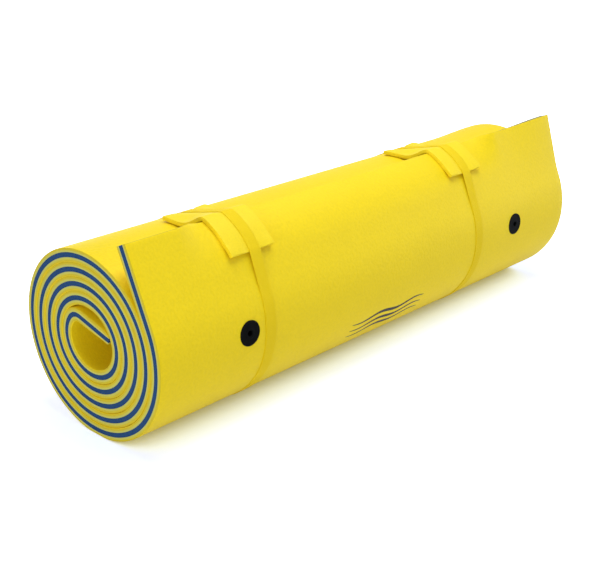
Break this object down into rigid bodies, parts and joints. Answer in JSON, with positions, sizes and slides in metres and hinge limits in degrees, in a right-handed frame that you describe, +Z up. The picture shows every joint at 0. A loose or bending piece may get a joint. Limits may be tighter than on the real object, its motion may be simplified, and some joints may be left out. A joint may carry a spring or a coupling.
{
  "type": "swim float mat",
  "caption": "Long soft foam float mat for swimming pools, rolled up and tied with two webbing straps.",
  "frame": {"origin": "centre of the bounding box's bottom face, on the floor under the middle of the roll", "axes": "+X along the roll's axis, away from the end that the picture shows; -Y towards the side where the mat's free edge stands up; +Z up"},
  "size_m": [1.83, 0.5622, 0.5724],
  "materials": {
    "yellow_foam": "matte",
    "blue_foam": "matte",
    "black_plastic": "satin",
    "yellow_webbing": "matte",
    "yellow_pad": "matte",
    "loop_tape": "matte",
    "hook_tape": "matte"
  },
  "bodies": {
    "mat": {"outer_skin": "yellow_foam", "foam_core": "blue_foam", "inner_skin": "yellow_foam", "near_grommet_front": "black_plastic", "near_grommet_rear": "black_plastic", "far_grommet_front": "black_plastic", "far_grommet_rear": "black_plastic"},
    "near_strap": {"near_strap_band": "yellow_webbing", "near_strap_pad": "yellow_pad", "near_strap_loop_patch": "loop_tape"},
    "near_strap_tab": {"near_strap_tab": "yellow_webbing", "near_strap_hook_patch": "hook_tape"},
    "far_strap": {"far_strap_band": "yellow_webbing", "far_strap_pad": "yellow_pad", "far_strap_loop_patch": "loop_tape"},
    "far_strap_tab": {"far_strap_tab": "yellow_webbing", "far_strap_hook_patch": "hook_tape"}
  },
  "joints": [
    {"name": "near_strap_slide", "type": "slide", "parent": "mat", "child": "near_strap", "axis": [1, 0, 0], "range_m": [0, 0.35]},
    {"name": "near_tab_peel", "type": "hinge", "parent": "near_strap", "child": "near_strap_tab", "pos_m": [-0.54, 0.27708, 0.29706], "axis": [1, 0, 0], "range_deg": [0, 150]},
    {"name": "far_strap_slide", "type": "slide", "parent": "mat", "child": "far_strap", "axis": [-1, 0, 0], "range_m": [0, 0.35]},
    {"name": "far_tab_peel", "type": "hinge", "parent": "far_strap", "child": "far_strap_tab", "pos_m": [0.41, 0.27708, 0.29706], "axis": [1, 0, 0], "range_deg": [0, 150]}
  ]
}
